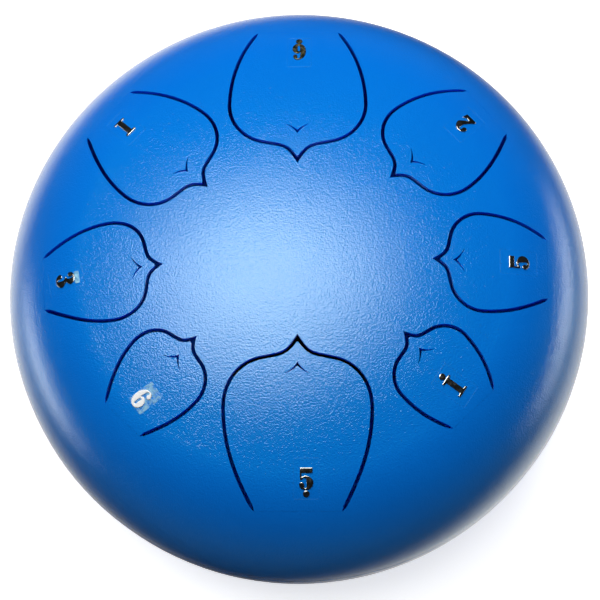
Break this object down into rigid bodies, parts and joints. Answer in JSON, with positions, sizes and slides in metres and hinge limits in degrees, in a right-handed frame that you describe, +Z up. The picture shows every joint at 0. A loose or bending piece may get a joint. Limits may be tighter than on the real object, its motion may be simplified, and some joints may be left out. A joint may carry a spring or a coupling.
{
  "type": "steel tongue drum",
  "caption": "Small round steel tongue drum: petal tongues cut in a domed upper shell, a sound hole underneath and rubber feet.",
  "frame": {"origin": "on the floor under the middle of the drum, level with the bottoms of the feet", "axes": "+Z up through the crown; -Y towards the largest tongue, the low fifth; +X to the right of that"},
  "size_m": [0.1552, 0.1552, 0.0858],
  "materials": {
    "shell_paint": "satin azure blue sprayed enamel with a fine orange-peel grain",
    "foot_rubber": "matt black moulded rubber",
    "zinc_washer": "bright zinc-plated steel",
    "rivet_metal": "plain bright aluminium"
  },
  "bodies": {
    "drum": {"top_shell": "shell_paint", "bottom_shell": "shell_paint", "weld_bead": "shell_paint", "foot_front": "foot_rubber", "foot_rear_right": "foot_rubber", "foot_rear_left": "foot_rubber", "washer_front": "zinc_washer", "washer_rear_right": "zinc_washer", "washer_rear_left": "zinc_washer", "rivet_front": "rivet_metal", "rivet_rear_right": "rivet_metal", "rivet_rear_left": "rivet_metal"},
    "tongue_low_5": {"tongue_low_5": "shell_paint"},
    "tongue_low_6": {"tongue_low_6": "shell_paint"},
    "tongue_1": {"tongue_1": "shell_paint"},
    "tongue_2": {"tongue_2": "shell_paint"},
    "tongue_3": {"tongue_3": "shell_paint"},
    "tongue_5": {"tongue_5": "shell_paint"},
    "tongue_6": {"tongue_6": "shell_paint"},
    "tongue_high_1": {"tongue_high_1": "shell_paint"}
  },
  "joints": [
    {"name": "flex_low_5", "type": "hinge", "parent": "drum", "child": "tongue_low_5", "pos_m": [0.00093, -0.06298, 0.07279], "axis": [-1, 0, 0], "range_deg": [-0.4, 0.4], "stiffness_Nm_per_rad": 119},
    {"name": "flex_low_6", "type": "hinge", "parent": "drum", "child": "tongue_low_6", "pos_m": [0.00045, 0.06359, 0.07237], "axis": [1, 0.0075, 0], "range_deg": [-0.4, 0.4], "stiffness_Nm_per_rad": 120},
    {"name": "flex_1", "type": "hinge", "parent": "drum", "child": "tongue_1", "pos_m": [-0.04904, 0.04084, 0.07221], "axis": [0.6547, 0.7559, 0], "range_deg": [-0.4, 0.4], "stiffness_Nm_per_rad": 110},
    {"name": "flex_2", "type": "hinge", "parent": "drum", "child": "tongue_2", "pos_m": [0.04961, 0.04101, 0.07179], "axis": [0.6418, -0.7669, 0], "range_deg": [-0.4, 0.4], "stiffness_Nm_per_rad": 113},
    {"name": "flex_3", "type": "hinge", "parent": "drum", "child": "tongue_3", "pos_m": [-0.06418, -0.005, 0.07179], "axis": [-0.0741, 0.9973, 0], "range_deg": [-0.4, 0.4], "stiffness_Nm_per_rad": 107},
    {"name": "flex_5", "type": "hinge", "parent": "drum", "child": "tongue_5", "pos_m": [0.06383, -0.00164, 0.07218], "axis": [-0.0063, -1, 0], "range_deg": [-0.4, 0.4], "stiffness_Nm_per_rad": 119},
    {"name": "flex_6", "type": "hinge", "parent": "drum", "child": "tongue_6", "pos_m": [-0.04251, -0.04066, 0.0752], "axis": [-0.7238, 0.69, 0], "range_deg": [-0.4, 0.4], "stiffness_Nm_per_rad": 110},
    {"name": "flex_high_1", "type": "hinge", "parent": "drum", "child": "tongue_high_1", "pos_m": [0.04405, -0.0383, 0.07542], "axis": [-0.729, -0.6845, 0], "range_deg": [-0.4, 0.4], "stiffness_Nm_per_rad": 125}
  ]
}
